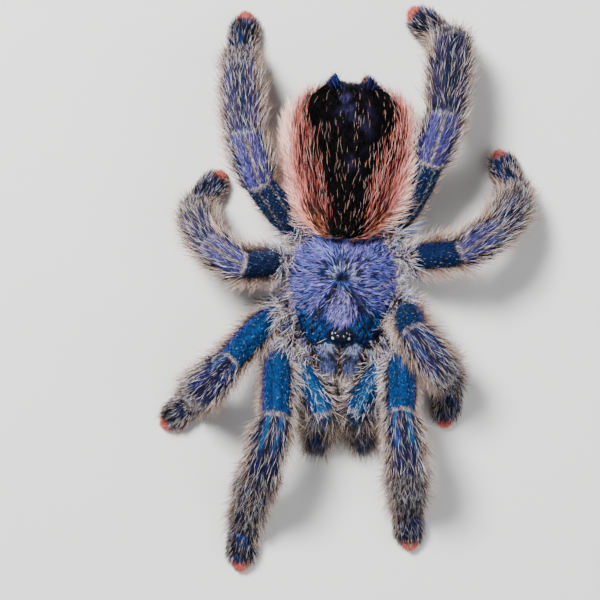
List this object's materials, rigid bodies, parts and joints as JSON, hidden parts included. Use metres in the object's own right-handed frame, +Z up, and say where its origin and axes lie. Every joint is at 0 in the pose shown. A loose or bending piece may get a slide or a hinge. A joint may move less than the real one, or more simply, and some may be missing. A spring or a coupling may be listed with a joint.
{
  "type": "pink toe tarantula",
  "caption": "Life-size still model of an adult pink toe tarantula standing with its front legs stretched forward.",
  "frame": {"origin": "middle of the model's box on the floor that the feet stand on", "axes": "+Z up, -Y towards the head and the front feet, +X to the spider's own left"},
  "size_m": [0.0508, 0.0784, 0.0179],
  "materials": {
    "carapace_blue": "matt, short blue and lavender hair",
    "abdomen_black": "black velvet back with salmon pink flanks of long hair",
    "chelicera_lavender": "short pale blue and lavender hair",
    "fang_black": "glossy dark claw",
    "eye_black": "glossy dark lens",
    "femur_teal": "short velvet of saturated teal blue hair",
    "patella_violet": "blue and violet hair with bare pale lines",
    "tibia_navy": "dark navy hair with long cream hairs",
    "metatarsus_umber": "dark hair with long brown and cream hairs",
    "tarsus_pink": "dark foot pad with a salmon pink tip"
  },
  "bodies": {
    "root": {"abdomen": "abdomen_black", "cephalothorax": "carapace_blue", "chelicera_left": "chelicera_lavender", "chelicera_right": "chelicera_lavender", "eye_front_middle_left": "eye_black", "eye_front_middle_right": "eye_black", "eye_front_side_left": "eye_black", "eye_front_side_right": "eye_black", "eye_rear_middle_left": "eye_black", "eye_rear_middle_right": "eye_black", "eye_rear_side_left": "eye_black", "eye_rear_side_right": "eye_black", "fang_left": "fang_black", "fang_right": "fang_black", "leg1_left_femur": "femur_teal", "leg1_left_metatarsus": "metatarsus_umber", "leg1_left_patella": "patella_violet", "leg1_left_tarsus": "tarsus_pink", "leg1_left_tibia": "tibia_navy", "leg1_right_femur": "femur_teal", "leg1_right_metatarsus": "metatarsus_umber", "leg1_right_patella": "patella_violet", "leg1_right_tarsus": "tarsus_pink", "leg1_right_tibia": "tibia_navy", "leg2_left_femur": "femur_teal", "leg2_left_metatarsus": "metatarsus_umber", "leg2_left_patella": "patella_violet", "leg2_left_tarsus": "tarsus_pink", "leg2_left_tibia": "tibia_navy", "leg2_right_femur": "femur_teal", "leg2_right_metatarsus": "metatarsus_umber", "leg2_right_patella": "patella_violet", "leg2_right_tarsus": "tarsus_pink", "leg2_right_tibia": "tibia_navy", "leg3_left_femur": "femur_teal", "leg3_left_metatarsus": "metatarsus_umber", "leg3_left_patella": "patella_violet", "leg3_left_tarsus": "tarsus_pink", "leg3_left_tibia": "tibia_navy", "leg3_right_femur": "femur_teal", "leg3_right_metatarsus": "metatarsus_umber", "leg3_right_patella": "patella_violet", "leg3_right_tarsus": "tarsus_pink", "leg3_right_tibia": "tibia_navy", "leg4_left_femur": "femur_teal", "leg4_left_metatarsus": "metatarsus_umber", "leg4_left_patella": "patella_violet", "leg4_left_tarsus": "tarsus_pink", "leg4_left_tibia": "tibia_navy", "leg4_right_femur": "femur_teal", "leg4_right_metatarsus": "metatarsus_umber", "leg4_right_patella": "patella_violet", "leg4_right_tarsus": "tarsus_pink", "leg4_right_tibia": "tibia_navy", "palp_left_femur": "femur_teal", "palp_left_tarsus": "tarsus_pink", "palp_left_tibia": "tibia_navy", "palp_right_femur": "femur_teal", "palp_right_tarsus": "tarsus_pink", "palp_right_tibia": "tibia_navy"}
  },
  "joints": []
}
